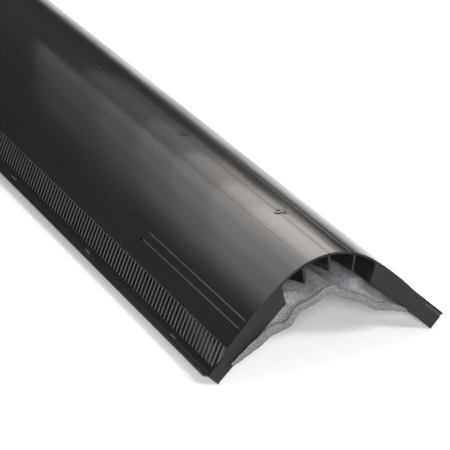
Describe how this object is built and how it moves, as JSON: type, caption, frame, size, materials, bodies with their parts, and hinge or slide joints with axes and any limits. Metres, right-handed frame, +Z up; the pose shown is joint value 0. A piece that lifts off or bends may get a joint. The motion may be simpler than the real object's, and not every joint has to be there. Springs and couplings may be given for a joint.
{
  "type": "ridge vent",
  "caption": "Moulded plastic ridge vent, bent over a roof ridge, with louvred sides behind a wind baffle, pleated end plugs and a slack grey weather filter.",
  "frame": {"origin": "on the floor under the middle of the vent", "axes": "+X along the ridge, +Y across it, +Z up"},
  "size_m": [1.219, 0.2418, 0.1015],
  "materials": {
    "cover": "satin moulded",
    "filter": "non-woven fibre mat"
  },
  "bodies": {
    "root": {"vent_cover": "cover", "weather_filter": "filter"}
  },
  "joints": []
}
